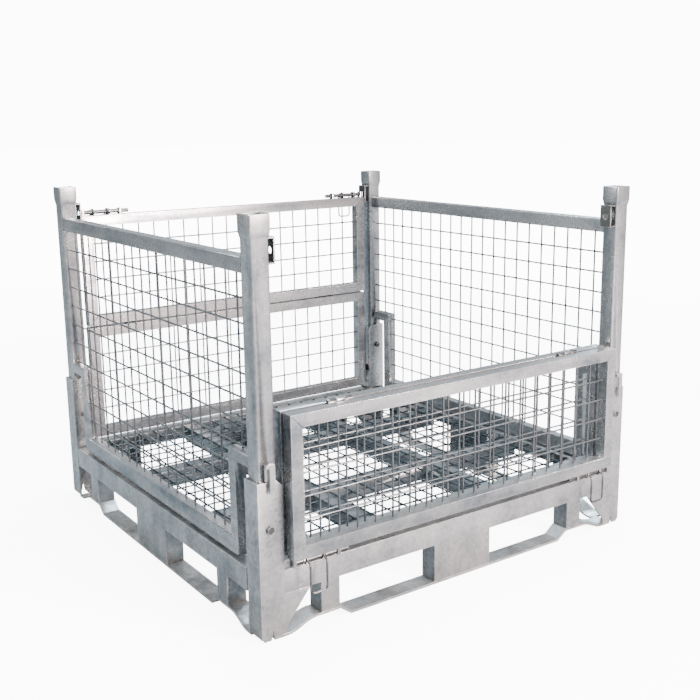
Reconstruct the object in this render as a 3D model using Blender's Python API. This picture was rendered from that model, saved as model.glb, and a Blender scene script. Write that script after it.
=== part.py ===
"""Collapsible wire mesh pallet cage with two lift-out side frames and two half-drop gates.

+Z is up, in metres. The dimensions are measured from the floor under the middle of the
square base, and at the end the whole is shifted along Y, so that the origin lies under
the middle of the outline. +X runs along the gates, and the gate whose upper half is
folded down faces -Y.
"""
import math

import bmesh
import bpy
from mathutils import Matrix, Vector

# ---- driving dimensions -------------------------------------------------------------
BASE_HALF = 0.5825          # base corner faces: a 1165 mm square footprint
POST_OUT = 0.5765           # outer faces of the side frames' posts
POST = 0.045                # square post
POST_TOP = 0.945
FLARE_HEIGHT = 0.048        # swaged socket at the top of each post
FLARE_OUT = 0.0035
SOCKET_WALL = 0.0035
SOCKET_DEPTH = 0.30
SEAM = {-1: 0.371, 1: 0.396}    # top of the corner stubs, left side and right side
BOLT_Z = {-1: 0.262, 1: 0.322}  # pivot bolts of the side frames
LIFT = 0.060                # how far a side frame lifts in its stubs
GAP = 0.0003                # between faces that touch
STEP = 0.0002               # between faces of welded sheets that would be in one plane

RAIL_TOP = 0.856            # top face of the side rails and of the closed gates
SIDE_RAIL_HEIGHT = 0.037
SIDE_RAIL_OUT = 0.5745
SIDE_RAIL_IN = 0.5445
JOG_UP = 0.022              # jog tube above the stub's top
JOG_HEIGHT = 0.028
STILE_OUT = 0.4705
STILE_IN = 0.4405
SIDE_FOOT = 0.165
FOOT_RAIL_TOP = 0.207

DECK_TOP = 0.160
APRON_BOTTOM = 0.103
APRON_TOP = 0.159
SHEET = 0.004
LEG_IN = 0.3745             # fork opening, leg side
LEG_OUT = 0.4245
BLOCK_HALF = 0.0905         # fork opening, middle block side
FOOT_DEPTH = 0.050
STRAP = 0.006
STRAP_RISE = 0.022          # underside of the strap below the legs
STUB_WIDE = 0.062           # stub flange, measured from the corner
STUB_WALL = 0.0048
STUB_CLEAR = 0.0012         # between the stub's flanges and the post

GATE_HALF = 0.512
GATE_TUBE = 0.030
GATE_MID = 0.554            # the gates stand in the middle of the posts
GATE_FOOT = 0.174
GATE_SPLIT = 0.521
SPLIT_GAP = 0.003           # from the split to either half
FOLD_OUT = 0.575            # hinge pins of the upper halves
PIVOT_Z = 0.190             # bottom pivots of the gates
PIVOT_Y = 0.550             # a little inboard, so that a shut gate leans on its stop
PIVOT_R = 0.007
PIVOT_CLEAR = 0.0006        # round the pins of the gates
CUT_IN = 0.50               # a cutter through a flange or a post runs from here
CUT_OUT = 0.60              # to here, on either side
BEYOND = 1.0                # a cutter that runs right out of a piece ends here

MESH_PITCH = 0.106
MESH_BAR = 0.006
MESH_THICK = 0.004

BOLT_R = 0.006
BOLT_CLEAR = 0.0006         # round a latch bolt
LATCH_UP = 0.010            # latch bolt above the gate's top face
LATCH_LONG = 0.150
BAIL_R = 0.0025

STEEL = (0.62, 0.62, 0.61, 1.0)
DARK_STEEL = (0.40, 0.42, 0.43, 1.0)
ROUND = 12                  # sides of a round bar
FLAT = math.radians(0.1)    # faces this close to one plane become one face

for old in list(bpy.data.objects):
    bpy.data.objects.remove(old)
container = bpy.data.collections.new("wire_mesh_container")
bpy.context.scene.collection.children.link(container)


def finish(name, colour, roughness):
    """A galvanised steel finish."""
    material = bpy.data.materials.new(name)
    material.use_nodes = True
    shader = material.node_tree.nodes["Principled BSDF"]
    shader.inputs["Base Color"].default_value = colour
    shader.inputs["Roughness"].default_value = roughness
    shader.inputs["Metallic"].default_value = 0.9
    return material


FINISH = {
    "galvanised_tube": finish("galvanised_tube", STEEL, 0.42),
    "galvanised_sheet": finish("galvanised_sheet", STEEL, 0.48),
    "galvanised_wire": finish("galvanised_wire", STEEL, 0.38),
    "zinc_fittings": finish("zinc_fittings", DARK_STEEL, 0.35),
}


# ---- solids -------------------------------------------------------------------------
def loose(name, mesh):
    """A working solid, which is not yet a part of the container."""
    solid = bpy.data.objects.new(name, mesh)
    container.objects.link(solid)
    return solid


def from_bmesh(bm, name="solid"):
    mesh = bpy.data.meshes.new(name)
    bm.to_mesh(mesh)
    bm.free()
    return loose(name, mesh)


def box(low, high):
    """A box between two corners, given in any order."""
    low, high = [Vector(map(f, zip(low, high))) for f in (min, max)]
    bm = bmesh.new()
    bmesh.ops.create_cube(bm, size=1.0)
    place = Matrix.Translation((low + high) / 2) @ Matrix.Diagonal((*(high - low), 1.0))
    bmesh.ops.transform(bm, matrix=place, verts=bm.verts)
    return from_bmesh(bm)


def bar(start, end, radius, sides=ROUND):
    """A round bar between two points."""
    start, end = Vector(start), Vector(end)
    bm = bmesh.new()
    bmesh.ops.create_cone(
        bm, cap_ends=True, segments=sides, radius1=radius, radius2=radius,
        depth=(end - start).length)
    turn = (end - start).to_track_quat("Z", "Y").to_matrix().to_4x4()
    place = Matrix.Translation((start + end) / 2) @ turn
    bmesh.ops.transform(bm, matrix=place, verts=bm.verts)
    return from_bmesh(bm)


def baked(solid):
    """The solid's evaluated shape as a plain mesh object."""
    graph = bpy.context.evaluated_depsgraph_get()
    mesh = bpy.data.meshes.new_from_object(solid.evaluated_get(graph))
    mesh.transform(solid.matrix_world)
    bm = bmesh.new()
    bm.from_mesh(mesh)
    bmesh.ops.remove_doubles(bm, verts=bm.verts, dist=1e-6)
    bmesh.ops.dissolve_limit(bm, angle_limit=FLAT, verts=bm.verts, edges=bm.edges)
    bmesh.ops.recalc_face_normals(bm, faces=bm.faces)
    bm.to_mesh(mesh)
    bm.free()
    result = loose(solid.name, mesh)
    bpy.data.objects.remove(solid)
    return result


def plate(outlines, plane, low, high):
    """A flat plate with straight-sided outlines, of which all but the first are holes.

    plane is "X" for outlines in (y, z), "Y" for (x, z) and "Z" for (x, y).
    """
    curve = bpy.data.curves.new("plate", "CURVE")
    curve.dimensions = "2D"
    curve.fill_mode = "BOTH"
    curve.extrude = abs(high - low) / 2
    for outline in outlines:
        spline = curve.splines.new("POLY")
        spline.points.add(len(outline) - 1)
        for point, (u, v) in zip(spline.points, outline):
            point.co = (u, v, 0, 1)
        spline.use_cyclic_u = True
    solid = loose("plate", curve)
    middle = (low + high) / 2
    across = {
        "X": Matrix(((0, 0, 1, middle), (1, 0, 0, 0), (0, 1, 0, 0), (0, 0, 0, 1))),
        "Y": Matrix(((1, 0, 0, 0), (0, 0, 1, middle), (0, 1, 0, 0), (0, 0, 0, 1))),
        "Z": Matrix.Translation((0, 0, middle)),
    }
    solid.matrix_world = across[plane]
    bpy.context.view_layer.update()
    return baked(solid)


def welded(solids, cuts=()):
    """The union of the solids, less the cuts."""
    first = solids[0]
    for operation, others in (("UNION", solids[1:]), ("DIFFERENCE", cuts)):
        for other in others:
            modifier = first.modifiers.new(operation, "BOOLEAN")
            modifier.operation = operation
            modifier.solver = "EXACT"
            modifier.object = other
    bpy.context.view_layer.update()
    result = baked(first)
    for other in (*solids[1:], *cuts):
        bpy.data.objects.remove(other)
    return result


def wire(points, radius, closed=False):
    """A bent wire through the points."""
    curve = bpy.data.curves.new("wire", "CURVE")
    curve.dimensions = "3D"
    curve.bevel_depth = radius
    curve.bevel_resolution = 2
    curve.use_fill_caps = not closed
    spline = curve.splines.new("POLY")
    spline.points.add(len(points) - 1)
    for point, place in zip(spline.points, points):
        point.co = (*place, 1)
    spline.use_cyclic_u = closed
    solid = loose("wire", curve)
    bpy.context.view_layer.update()
    return baked(solid)


bodies = {}


def body(name, pivot, parent=None):
    """An empty at the joint that carries the body's parts."""
    empty = bpy.data.objects.new(name + "_joint", None)
    container.objects.link(empty)
    empty.location = pivot
    if parent:
        empty.parent = bodies[parent]
        empty.location = Vector(pivot) - bodies[parent].matrix_world.translation
    bodies[name] = empty
    bpy.context.view_layer.update()


def part(name, solid, carrier, finish_name):
    """Name the solid, give it its finish, and hang it on its body's empty."""
    solid.name = name
    solid.data.name = name
    pivot = bodies[carrier].matrix_world.translation
    solid.data.transform(Matrix.Translation(-pivot))
    solid.parent = bodies[carrier]
    solid.data.materials.append(FINISH[finish_name])
    return solid


def mirrored(points, sign):
    return [(u * sign, v) for u, v in points]


def grid_plate(lows, highs, plane, low, high):
    """A mesh panel: a plate with a regular grid of square holes and a rim of one bar."""
    spans = [highs[i] - lows[i] for i in (0, 1)]
    counts = [max(1, round(span / MESH_PITCH)) for span in spans]
    steps = [(span - MESH_BAR) / count for span, count in zip(spans, counts)]

    def corner(u, v, w):
        return {"X": (w, u, v), "Y": (u, w, v), "Z": (u, v, w)}[plane]

    bm = bmesh.new()
    for i in range(counts[0]):
        for j in range(counts[1]):
            u = lows[0] + MESH_BAR / 2 + (i + 0.5) * steps[0]
            v = lows[1] + MESH_BAR / 2 + (j + 0.5) * steps[1]
            size = corner(steps[0] - MESH_BAR, steps[1] - MESH_BAR, 2 * MESH_THICK)
            place = Matrix.Translation(corner(u, v, (low + high) / 2))
            bmesh.ops.create_cube(bm, size=1.0, matrix=place @ Matrix.Diagonal((*size, 1.0)))
    panel = box(corner(lows[0], lows[1], low), corner(highs[0], highs[1], high))
    return welded([panel], [from_bmesh(bm)])


SIDES = {-1: "left", 1: "right"}
ENDS = {-1: "front", 1: "back"}
body("base", (0, 0, 0))


# ---- base: corner stubs ---------------------------------------------------------------
LUG_TOP = 0.034             # the stacking lug tapers below this height
LUG_SHOULDER = 0.028
LUG_FOOT = 0.001
LUG_WIDE = 0.0315
LUG_SHOULDER_WIDE = 0.030
LUG_FOOT_WIDE = 0.024
LUG_FOOT_SET_IN = 0.006
GUSSET_OUT = 0.130
GUSSET_LOW = 0.020
FLANGE_CHAMFER = 0.014
INNER_FLANGE_FOOT = DECK_TOP + 0.004
STUB_FLOOR = 0.130
PIVOT_PLATE_IN = 0.5215
PIVOT_PLATE_OUT = 0.5255
PIVOT_PLATE_TOP = 0.225
HOLE_CLEAR = 0.0004         # round a side frame's bolt


def corner_stub(side, end):
    """A channel open towards the load, with a tapered corner plate and a stacking lug."""
    seam = SEAM[side]
    inner_flange = POST_OUT - POST - STUB_CLEAR
    corner = BASE_HALF

    def across(distance):
        return side * (corner - distance)

    outline = [
        (across(0), seam), (across(STUB_WIDE - FLANGE_CHAMFER), seam),
        (across(STUB_WIDE), seam - FLANGE_CHAMFER), (across(STUB_WIDE), APRON_BOTTOM - GAP),
        (across(GUSSET_OUT), APRON_BOTTOM - GAP), (across(STUB_WIDE), GUSSET_LOW),
        (across(STUB_WIDE), STRAP + GAP), (across(LUG_WIDE), STRAP + GAP),
        (across(LUG_SHOULDER_WIDE), LUG_SHOULDER), (across(LUG_FOOT_WIDE), LUG_FOOT),
        (across(LUG_FOOT_SET_IN), LUG_FOOT), (across(0), LUG_TOP)]
    face = plate([outline], "Y", end * corner, end * (corner - STUB_WALL))
    inner_outline = [
        (across(0), seam), (across(STUB_WIDE - FLANGE_CHAMFER), seam),
        (across(STUB_WIDE), seam - FLANGE_CHAMFER), (across(STUB_WIDE), INNER_FLANGE_FOOT),
        (across(0), INNER_FLANGE_FOOT)]
    inner_face = end * (inner_flange - STUB_WALL)
    inner = plate([inner_outline], "Y", end * inner_flange, inner_face)
    web = box(
        (across(0), end * corner, STRAP + 0.001), (across(STUB_WALL), inner_face, seam))
    floor = box(
        (across(0), end * corner, STUB_FLOOR),
        (across(STUB_WIDE - GAP), inner_face, STUB_FLOOR + SHEET))
    pivot_plate = box(
        (side * PIVOT_PLATE_IN, end * corner, DECK_TOP + 0.005),
        (side * PIVOT_PLATE_OUT, inner_face, PIVOT_PLATE_TOP))
    eye = bar(
        (side * CUT_IN, end * PIVOT_Y, PIVOT_Z), (side * 0.53, end * PIVOT_Y, PIVOT_Z),
        PIVOT_R + PIVOT_CLEAR)
    bolt_hole = bar(
        (side * GATE_MID, end * (CUT_IN + 0.01), BOLT_Z[side]),
        (side * GATE_MID, end * CUT_OUT, BOLT_Z[side]), BOLT_R + HOLE_CLEAR)
    return welded([face, inner, web, floor, pivot_plate], [eye, bolt_hole])


for side in SIDES:
    for end in ENDS:
        name = f"corner_stub_{ENDS[end]}_{SIDES[side]}"
        part(name, corner_stub(side, end), "base", "galvanised_sheet")


# ---- base: aprons with legs and middle blocks -----------------------------------------
def apron(sign, plane):
    """One folded sheet: a rail with fork openings, legs and a middle block."""
    outer = sign * BASE_HALF
    reach = BASE_HALF - STUB_WIDE - GAP
    leg_foot = STRAP_RISE + STRAP + GAP
    block_foot = STRAP + GAP

    def piece(u0, u1, depth0, depth1, z0, z1):
        deep0, deep1 = outer - sign * depth0, outer - sign * depth1
        if plane == "Y":
            return box((u0, deep0, z0), (u1, deep1, z1))
        return box((deep0, u0, z0), (deep1, u1, z1))

    solids = [piece(-reach, reach, 0, SHEET, block_foot, APRON_TOP),
              piece(STEP - reach, reach - STEP, SHEET / 2, FOOT_DEPTH,
                    APRON_TOP - SHEET, APRON_TOP - STEP)]
    cuts = []
    through = SHEET + STEP
    for mirror in (-1, 1):
        for wall, inward, foot in (
                (BLOCK_HALF, -1, block_foot), (LEG_IN, 1, leg_foot), (LEG_OUT, -1, leg_foot)):
            solids.append(piece(
                mirror * (wall + inward * STEP), mirror * (wall + inward * SHEET),
                SHEET / 2, FOOT_DEPTH - STEP, foot + STEP, APRON_TOP - SHEET / 2))
        for inner, far, over in (
                (BLOCK_HALF, LEG_IN, APRON_BOTTOM), (LEG_IN - STEP, LEG_OUT + STEP, leg_foot),
                (LEG_OUT, BASE_HALF, APRON_BOTTOM)):
            cuts.append(piece(mirror * inner, mirror * far, -STEP, through, -0.01, over))
    return welded(solids, cuts)


for sign in (-1, 1):
    part(f"apron_{ENDS[sign]}", apron(sign, "Y"), "base", "galvanised_sheet")
    part(f"apron_{SIDES[sign]}", apron(sign, "X"), "base", "galvanised_sheet")


# ---- base: skid straps ------------------------------------------------------------------
CURVE_STEPS = 8


def skid_strap(sign, plane, start):
    """A flat bar: on the floor at the corners and the middle, raised under the legs."""
    flat_end = BASE_HALF - 0.066
    rise_end = BASE_HALF - 0.145
    ramp_top = LEG_IN - 0.002
    ramp_foot = ramp_top - 0.030
    under = [(BASE_HALF - start, 0.0)]
    for step in range(CURVE_STEPS + 1):
        t = step / CURVE_STEPS
        ease = (1 - math.cos(math.pi * t)) / 2
        under.append((flat_end + (rise_end - flat_end) * t, STRAP_RISE * ease))
    under += [(ramp_top, STRAP_RISE), (ramp_foot, 0.0)]
    half_top = [(u, z + STRAP) for u, z in under]
    outline = (
        under + mirrored(under, -1)[::-1] + mirrored(half_top, -1) + half_top[::-1])
    outer = sign * BASE_HALF
    return plate([outline], plane, outer, outer - sign * FOOT_DEPTH)


for sign in (-1, 1):
    part(f"skid_strap_{ENDS[sign]}", skid_strap(sign, "Y", 0.033), "base", "galvanised_sheet")
    part(f"skid_strap_{SIDES[sign]}", skid_strap(sign, "X", 0.0505), "base", "galvanised_sheet")


# ---- base: deck -------------------------------------------------------------------------
BEARER_AT = 0.194
BEARER_WIDE = 0.050
BEARER_WALL = 0.004
BEARER_LOW = 0.108
DECK_REACH = BASE_HALF - FOOT_DEPTH - 0.001


def deck_bearers():
    """Two channels each way, crossing at the third points and open underneath."""
    top = DECK_TOP - MESH_THICK - 2 * GAP
    solids, hollows = [], []
    for place in (-BEARER_AT, BEARER_AT):
        low, high = place - BEARER_WIDE / 2, place + BEARER_WIDE / 2
        solids.append(box((-DECK_REACH, low, BEARER_LOW), (DECK_REACH, high, top)))
        solids.append(box((low, -DECK_REACH, BEARER_LOW), (high, DECK_REACH, top)))
        low, high = low + BEARER_WALL, high - BEARER_WALL
        under, over = BEARER_LOW - 0.01, top - BEARER_WALL
        hollows.append(box((-1, low, under), (1, high, over)))
        hollows.append(box((low, -1, under), (high, 1, over)))
    return welded(solids, hollows)


part("deck_bearers", deck_bearers(), "base", "galvanised_tube")
deck_half = DECK_REACH - 0.001
part("deck_mesh", grid_plate((-deck_half, -deck_half), (deck_half, deck_half), "Z",
                             DECK_TOP - MESH_THICK, DECK_TOP), "base", "galvanised_wire")


# ---- side frames --------------------------------------------------------------------------
SLOT_R = BOLT_R + 0.0012
POST_BELOW_SLOT = 0.016


def side_post(side, end):
    """A square tube with a swaged socket on top and a slot for its pivot bolt."""
    inner = POST_OUT - POST
    foot = BOLT_Z[side] - LIFT - POST_BELOW_SLOT
    middle = Vector((side * (POST_OUT - POST / 2), end * (POST_OUT - POST / 2), 0))
    tube = box((side * inner, end * inner, foot), (side * POST_OUT, end * POST_OUT, POST_TOP))
    flare = box(
        (side * (inner - FLARE_OUT), end * (inner - FLARE_OUT), POST_TOP - FLARE_HEIGHT * 0.7),
        (side * (POST_OUT + FLARE_OUT), end * (POST_OUT + FLARE_OUT), POST_TOP))
    hollow = POST / 2 - SOCKET_WALL
    bore = box(middle + Vector((-hollow, -hollow, POST_TOP - SOCKET_DEPTH)),
               middle + Vector((hollow, hollow, POST_TOP + 0.01)))
    low, high = BOLT_Z[side] - LIFT, BOLT_Z[side]
    slot = box((middle.x - SLOT_R, 0, low), (middle.x + SLOT_R, end * BEYOND, high))
    ends = [
        bar((middle.x, end * CUT_IN, z), (middle.x, end * CUT_OUT, z), SLOT_R)
        for z in (low, high)]
    return welded([tube, flare], [bore, slot, *ends])


def side_lower_frame(side):
    """Jogs, stiles and foot rail, notched round the corner stubs."""
    reach = POST_OUT - POST - GAP
    jog = SEAM[side] + JOG_UP
    near, far = side * SIDE_RAIL_IN, side * SIDE_RAIL_OUT
    whole = box((near, -reach, SIDE_FOOT), (far, reach, jog + JOG_HEIGHT))
    cuts = [box((side * CUT_IN, -STILE_IN, FOOT_RAIL_TOP), (side * CUT_OUT, STILE_IN, BEYOND))]
    for end in ENDS:
        cuts.append(
            box((side * CUT_IN, end * STILE_OUT, 0), (side * CUT_OUT, end * CUT_OUT, jog)))
    return welded([whole], cuts)


def side_mesh(side):
    """The mesh panel between the posts, notched like the frame below the jogs."""
    middle = side * (SIDE_RAIL_IN + SIDE_RAIL_OUT) / 2
    top = RAIL_TOP - SIDE_RAIL_HEIGHT - GAP
    jog_top = SEAM[side] + JOG_UP + JOG_HEIGHT + GAP
    wide, narrow = POST_OUT - POST - GAP, STILE_IN - GAP
    low, high = middle - MESH_THICK / 2, middle + MESH_THICK / 2
    upper = grid_plate((-wide, jog_top), (wide, top), "X", low, high)
    lower = grid_plate(
        (-narrow, FOOT_RAIL_TOP + GAP), (narrow, jog_top + MESH_BAR), "X", low, high)
    return welded([upper, lower])


KEEPER_IN = 0.5145
KEEPER_LOW = 0.838
KEEPER_HIGH = 0.896
KEEPER_BAR = 0.0035
KEEPER_HALF = 0.018
KEEPER_CLEAR = 0.002        # round the latch bolt
LATCH_Z = RAIL_TOP + LATCH_UP


def keeper(side, end):
    """A bent flat bar on the post's inner face, with a hole for the latch bolt."""
    root = POST_OUT - POST - GAP
    near, far = end * (GATE_MID - KEEPER_HALF), end * (GATE_MID + KEEPER_HALF)
    loop = box((side * KEEPER_IN, near, KEEPER_LOW), (side * root, far, KEEPER_HIGH))
    inside = box(
        (side * (KEEPER_IN + KEEPER_BAR), -BEYOND, KEEPER_LOW + KEEPER_BAR),
        (side * CUT_OUT, BEYOND, KEEPER_HIGH - KEEPER_BAR))
    hole = bar((side * CUT_IN, end * GATE_MID, LATCH_Z), (side * 0.53, end * GATE_MID, LATCH_Z),
               BOLT_R + KEEPER_CLEAR)
    return welded([loop], [inside, hole])


CATCH_PIN_R = 0.004
CATCH_STRAP = 0.003
CATCH_OFF = 0.0075          # from the post's face to the strap
CATCH_TOP = 0.030
CATCH_FOOT = 0.036
CATCH_HALF = 0.011
CATCH_PIN = 0.006           # pin to the left of the post's middle
CATCH_UP = 0.012            # pin above the stub's top
CATCH_CHEEK = 0.008         # height of the bridge, and of the short cheek below the pin


def side_catch(side, end):
    """A folded strap that hangs on a pin in the post, its long prong over the stub."""
    inner = end * (POST_OUT + CATCH_OFF)
    step = end * CATCH_STRAP
    outer = inner + 3 * step
    x, z = side * GATE_MID, SEAM[side] + CATCH_UP
    left, right, top = x - CATCH_HALF, x + CATCH_HALF, z + CATCH_TOP
    short = box((left, inner, z - CATCH_CHEEK), (x - 0.003, inner + step, top))
    bridge = box((left, inner, top - CATCH_CHEEK), (right, outer, top))
    long = box((x - 0.002, inner + 2 * step, z - CATCH_FOOT), (right, outer, top))
    pin_x = x - CATCH_PIN
    pin = bar((pin_x, end * (POST_OUT + GAP), z), (pin_x, inner + step / 2, z), CATCH_PIN_R)
    return welded([short, bridge, long, pin])


HEAD_HIGH = 0.0055
HEAD_R = 0.010
NUT_HIGH = 0.007
BOLT_END = 0.010            # shank past the stub's inner flange


def pivot_bolt(side, end):
    """A headed bolt through both flanges of the stub and the post's slot."""
    x, z = side * GATE_MID, BOLT_Z[side]
    flange_back = POST_OUT - POST - STUB_CLEAR - STUB_WALL
    start = end * (BASE_HALF + HEAD_HIGH - 0.001)
    shank = bar((x, start, z), (x, end * (flange_back - BOLT_END), z), BOLT_R)
    head_low, head_high = BASE_HALF + GAP, BASE_HALF + HEAD_HIGH
    head = bar((x, end * head_low, z), (x, end * head_high, z), HEAD_R, 6)
    nut_at = flange_back - GAP
    nut = bar((x, end * nut_at, z), (x, end * (nut_at - NUT_HIGH), z), HEAD_R, 6)
    return welded([shank, head, nut])


for side, side_name in SIDES.items():
    frame = f"{side_name}_side"
    body(frame, (side * GATE_MID, 0, SIDE_FOOT), "base")
    inner = POST_OUT - POST - GAP
    top_rail = box((side * SIDE_RAIL_IN, -inner, RAIL_TOP - SIDE_RAIL_HEIGHT),
                   (side * SIDE_RAIL_OUT, inner, RAIL_TOP))
    part(f"{side_name}_top_rail", top_rail, frame, "galvanised_tube")
    part(f"{side_name}_lower_frame", side_lower_frame(side), frame, "galvanised_tube")
    part(f"{side_name}_mesh", side_mesh(side), frame, "galvanised_wire")
    for end, end_name in ENDS.items():
        part(f"{side_name}_post_{end_name}", side_post(side, end), frame, "galvanised_tube")
        part(f"{side_name}_keeper_{end_name}", keeper(side, end), frame, "zinc_fittings")
        catch = f"{side_name}_catch_{end_name}"
        body(catch, (side * GATE_MID - CATCH_PIN, end * POST_OUT, SEAM[side] + CATCH_UP), frame)
        part(catch, side_catch(side, end), catch, "zinc_fittings")
        part(f"{side_name}_pivot_bolt_{end_name}", pivot_bolt(side, end), "base", "zinc_fittings")


# ---- gates -----------------------------------------------------------------------------------
HINGE_AT = 0.361
HINGE_HALF = 0.033
HINGE_PIN_R = 0.0028
HINGE_BORE_R = 0.0031
KNUCKLE_R = 0.0055
KNUCKLE_GAP = 0.0005
LEAF = 0.003
LEAF_LONG = 0.030           # from the hinge pins to the far edge of a leaf
LEAF_START = 0.0085
KNUCKLE_ROOT = 0.012
SADDLE_WIDE = 0.008
SADDLE_HALF = 0.0095
SADDLE_OVER = 0.0085        # top of a saddle above the bolt's middle
SADDLES = (0.506, 0.389)    # the saddles' middles along the top rail
LATCH_TIP = 0.5115          # end of a latch bolt that is drawn back
COLLAR_R = 0.0085
COLLAR_HALF = 0.0025
COLLAR_AT = 0.007           # a collar's middle beyond the eye of the bail
BAIL_AT = 0.452             # its outer collar has the bolt's travel to the saddle
BAIL_HALF = 0.022
BAIL_OUT = 0.020
BAIL_DROP = 0.075
BAIL_CORNER = 0.010
BAIL_BEND = 0.004
PIN_REACH = 0.529           # ends of the bottom pivot pins
PIN_ROOT = 0.010
GATE_FACE = GATE_MID + GATE_TUBE / 2


def gate_frame(low, high):
    """A rectangle of square tube, as the solids of its four members."""
    near, far = GATE_MID - GATE_TUBE / 2, GATE_MID + GATE_TUBE / 2
    outer = [(-GATE_HALF, low), (GATE_HALF, low), (GATE_HALF, high), (-GATE_HALF, high)]
    u, z0, z1 = GATE_HALF - GATE_TUBE, low + GATE_TUBE, high - GATE_TUBE
    hole = [(-u, z0), (u, z0), (u, z1), (-u, z1)]
    return plate([outer, hole], "Y", near, far)


def gate_mesh(low, high):
    """The mesh panel inside a gate frame."""
    u = GATE_HALF - GATE_TUBE - GAP
    z0, z1 = low + GATE_TUBE + GAP, high - GATE_TUBE - GAP
    near, far = GATE_MID - MESH_THICK / 2, GATE_MID + MESH_THICK / 2
    return grid_plate((-u, z0), (u, z1), "Y", near, far)


def lower_gate():
    """The lower half, with its pivot pins and the middle knuckle of each hinge."""
    solids = [gate_frame(GATE_FOOT, GATE_SPLIT - SPLIT_GAP)]
    third = HINGE_HALF / 3 - KNUCKLE_GAP
    cuts = []
    for side in SIDES:
        solids.append(bar((side * (GATE_HALF - PIN_ROOT), PIVOT_Y, PIVOT_Z),
                          (side * PIN_REACH, PIVOT_Y, PIVOT_Z), PIVOT_R))
        x = side * HINGE_AT
        near, far = x - third, x + third
        solids.append(bar((near, FOLD_OUT, GATE_SPLIT), (far, FOLD_OUT, GATE_SPLIT), KNUCKLE_R))
        solids.append(box((near, FOLD_OUT - LEAF - 0.0005, GATE_SPLIT - LEAF_LONG),
                          (far, GATE_FACE - 0.001, GATE_SPLIT)))
        cuts.append(bar((x - HINGE_HALF, FOLD_OUT, GATE_SPLIT),
                        (x + HINGE_HALF, FOLD_OUT, GATE_SPLIT), HINGE_BORE_R))
    return welded(solids, cuts)


def upper_gate():
    """The upper half, upright, with the saddles that guide its latch bolts."""
    solids = [gate_frame(GATE_SPLIT + SPLIT_GAP, RAIL_TOP)]
    cuts = []
    for side in SIDES:
        for x in SADDLES:
            low, high = x - SADDLE_WIDE / 2, x + SADDLE_WIDE / 2
            solids.append(box(
                (side * low, GATE_MID - SADDLE_HALF, RAIL_TOP - 0.001),
                (side * high, GATE_MID + SADDLE_HALF, LATCH_Z + SADDLE_OVER)))
        cuts.append(bar((side * (min(SADDLES) - SADDLE_WIDE), GATE_MID, LATCH_Z),
                        (side * CUT_OUT, GATE_MID, LATCH_Z), BOLT_R + BOLT_CLEAR))
    return welded(solids, cuts)


def hinge(side):
    """The upper leaf of a hinge with its two outer knuckles and the pin through all three."""
    x = side * HINGE_AT
    third = HINGE_HALF / 3 + KNUCKLE_GAP
    low, high = x - HINGE_HALF, x + HINGE_HALF
    face = GATE_FACE + GAP
    pin = bar((low, FOLD_OUT, GATE_SPLIT), (high, FOLD_OUT, GATE_SPLIT), HINGE_PIN_R)
    leaf = box((low, face, GATE_SPLIT + LEAF_START), (high, face + LEAF, GATE_SPLIT + LEAF_LONG))
    solids = [pin, leaf]
    for hand in (-1, 1):
        near, far = x + hand * third, x + hand * HINGE_HALF
        solids.append(bar((near, FOLD_OUT, GATE_SPLIT), (far, FOLD_OUT, GATE_SPLIT), KNUCKLE_R))
        solids.append(
            box((near, face, GATE_SPLIT), (far, face + LEAF, GATE_SPLIT + KNUCKLE_ROOT)))
    return welded(solids)


def latch_bolt(side):
    """A round bolt with two collars that hold the pull bail between them."""
    tip, tail = side * LATCH_TIP, side * (LATCH_TIP - LATCH_LONG)
    solids = [bar((tip, GATE_MID, LATCH_Z), (tail, GATE_MID, LATCH_Z), BOLT_R)]
    for hand in (-1, 1):
        x = side * BAIL_AT + hand * (BAIL_HALF + COLLAR_AT)
        solids.append(bar((x - COLLAR_HALF, GATE_MID, LATCH_Z),
                          (x + COLLAR_HALF, GATE_MID, LATCH_Z), COLLAR_R))
    return welded(solids)


def latch_bail(side):
    """A wire pull loop that hangs down, with eyes that turn round the latch bolt."""
    eye_r = BOLT_R + BOLT_CLEAR + BAIL_R
    x_mid = side * BAIL_AT
    out = GATE_MID + BAIL_OUT
    foot = LATCH_Z - BAIL_DROP

    def half(hand):
        x = x_mid + hand * BAIL_HALF
        near_foot = BAIL_CORNER * 0.3
        return [
            (x, GATE_MID + eye_r - 0.001, LATCH_Z), (x, out - BAIL_BEND, LATCH_Z),
            (x, out, LATCH_Z - BAIL_BEND), (x, out, foot + BAIL_CORNER),
            (x - hand * near_foot, out, foot + near_foot), (x - hand * BAIL_CORNER, out, foot)]

    solids = [wire(half(-1) + half(1)[::-1], BAIL_R)]
    for hand in (-1, 1):
        x = x_mid + hand * BAIL_HALF
        solids.append(bar((x - BAIL_R, GATE_MID, LATCH_Z), (x + BAIL_R, GATE_MID, LATCH_Z), eye_r))
    bore = bar((x_mid - 2 * BAIL_HALF, GATE_MID, LATCH_Z),
               (x_mid + 2 * BAIL_HALF, GATE_MID, LATCH_Z), BOLT_R + BOLT_CLEAR)
    return welded(solids, [bore])


def turned(solid, about, angle, axis):
    """Turn a solid about an axis through a point."""
    about = Vector(about)
    turn = Matrix.Rotation(angle, 4, axis)
    solid.data.transform(Matrix.Translation(about) @ turn @ Matrix.Translation(-about))
    return solid


def swung(solid, end, folded):
    """Turn a solid of the back gate, built upright, to its own gate and fold.

    The front gate is the back one turned half round, and a folded upper half
    is turned down about its hinge pins.
    """
    if folded:
        turned(solid, (0, FOLD_OUT, GATE_SPLIT), math.pi, "X")
    if end < 0:
        turned(solid, (0, 0, 0), math.pi, "Z")
    return solid


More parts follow.
